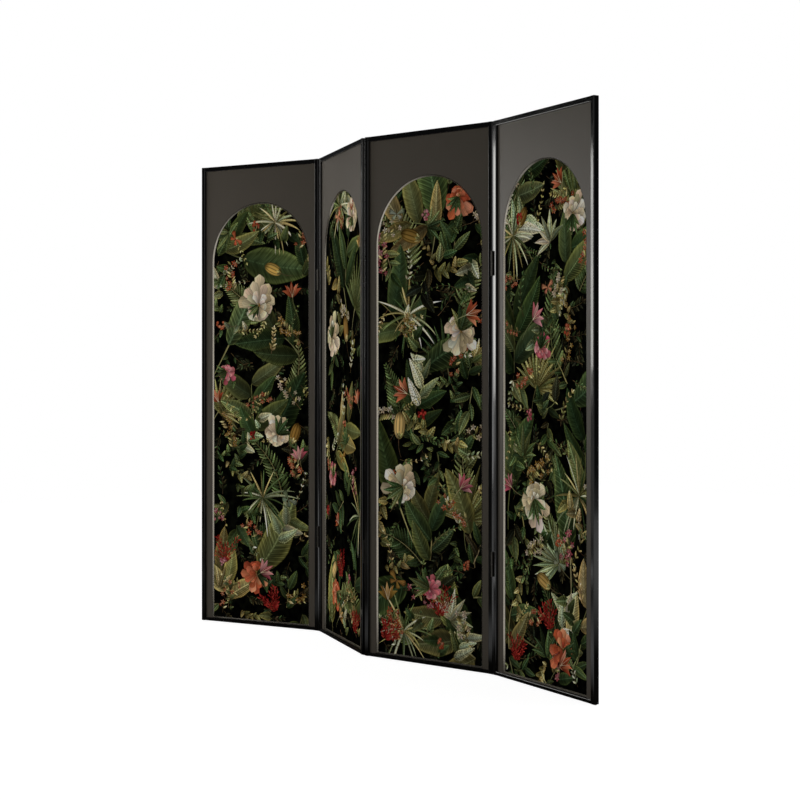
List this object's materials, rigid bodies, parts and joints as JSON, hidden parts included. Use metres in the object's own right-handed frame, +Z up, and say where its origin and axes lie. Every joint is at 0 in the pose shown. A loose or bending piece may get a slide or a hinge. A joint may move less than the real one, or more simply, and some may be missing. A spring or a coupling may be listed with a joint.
{
  "type": "folding screen",
  "caption": "Free-standing folding screen: slim black frames round arched, printed panels, joined by lift-off hinges so that it stands in a zigzag and folds flat.",
  "frame": {"origin": "middle of the screen's footprint in its standing pose, on the floor", "axes": "+X along the run from the first panel's outer corner to the last one's, +Y towards the back, -Y the printed front, +Z up"},
  "size_m": [2.1469, 0.215, 1.8],
  "materials": {
    "frame_lacquer": "black gloss lacquer on wood",
    "mount_lacquer": "dark warm grey satin lacquer on board",
    "trim_lacquer": "pale stone satin lacquer on wood",
    "print": "dark botanical print on board, satin varnish",
    "back_lacquer": "black satin paint on board",
    "hinge_steel": "blackened steel, satin",
    "pin_steel": "dark steel pin",
    "screw_steel": "blackened countersunk steel screws",
    "beech": "plain beech dowel",
    "glide_nylon": "pale nylon nail-on glide"
  },
  "bodies": {
    "panel_1": {"panel_1_left_stile": "frame_lacquer", "panel_1_right_stile": "frame_lacquer", "panel_1_top_rail": "frame_lacquer", "panel_1_bottom_rail": "frame_lacquer", "panel_1_mount_board": "mount_lacquer", "panel_1_arch_trim": "trim_lacquer", "panel_1_decor_panel": "print", "panel_1_back_panel": "back_lacquer", "panel_1_back_screws": "screw_steel", "panel_1_corner_dowels": "beech", "panel_1_glides": "glide_nylon", "hinge_1_2_left_leaves": "hinge_steel", "hinge_1_2_pins": "pin_steel", "hinge_1_2_left_screws": "screw_steel"},
    "panel_2": {"panel_2_left_stile": "frame_lacquer", "panel_2_right_stile": "frame_lacquer", "panel_2_top_rail": "frame_lacquer", "panel_2_bottom_rail": "frame_lacquer", "panel_2_mount_board": "mount_lacquer", "panel_2_arch_trim": "trim_lacquer", "panel_2_decor_panel": "print", "panel_2_back_panel": "back_lacquer", "panel_2_back_screws": "screw_steel", "panel_2_corner_dowels": "beech", "panel_2_glides": "glide_nylon", "hinge_1_2_right_leaves": "hinge_steel", "hinge_1_2_right_screws": "screw_steel", "hinge_2_3_left_leaves": "hinge_steel", "hinge_2_3_pins": "pin_steel", "hinge_2_3_left_screws": "screw_steel"},
    "panel_3": {"panel_3_left_stile": "frame_lacquer", "panel_3_right_stile": "frame_lacquer", "panel_3_top_rail": "frame_lacquer", "panel_3_bottom_rail": "frame_lacquer", "panel_3_mount_board": "mount_lacquer", "panel_3_arch_trim": "trim_lacquer", "panel_3_decor_panel": "print", "panel_3_back_panel": "back_lacquer", "panel_3_back_screws": "screw_steel", "panel_3_corner_dowels": "beech", "panel_3_glides": "glide_nylon", "hinge_2_3_right_leaves": "hinge_steel", "hinge_2_3_right_screws": "screw_steel", "hinge_3_4_left_leaves": "hinge_steel", "hinge_3_4_pins": "pin_steel", "hinge_3_4_left_screws": "screw_steel"},
    "panel_4": {"panel_4_left_stile": "frame_lacquer", "panel_4_right_stile": "frame_lacquer", "panel_4_top_rail": "frame_lacquer", "panel_4_bottom_rail": "frame_lacquer", "panel_4_mount_board": "mount_lacquer", "panel_4_arch_trim": "trim_lacquer", "panel_4_decor_panel": "print", "panel_4_back_panel": "back_lacquer", "panel_4_back_screws": "screw_steel", "panel_4_corner_dowels": "beech", "panel_4_glides": "glide_nylon", "hinge_3_4_right_leaves": "hinge_steel", "hinge_3_4_right_screws": "screw_steel"}
  },
  "joints": [
    {"name": "fold_1_2", "type": "hinge", "parent": "panel_2", "child": "panel_1", "pos_m": [-0.54938, 0.08643, 0], "axis": [0, 0, 1], "range_deg": [-41.5, 138.5]},
    {"name": "fold_2_3", "type": "hinge", "parent": "panel_2", "child": "panel_3", "pos_m": [-0.02231, -0.08478, 0], "axis": [0, 0, 1], "range_deg": [-31.5, 148.5]},
    {"name": "fold_3_4", "type": "hinge", "parent": "panel_3", "child": "panel_4", "pos_m": [0.52672, -0.00941, 0], "axis": [0, 0, 1], "range_deg": [-159, 21]}
  ]
}
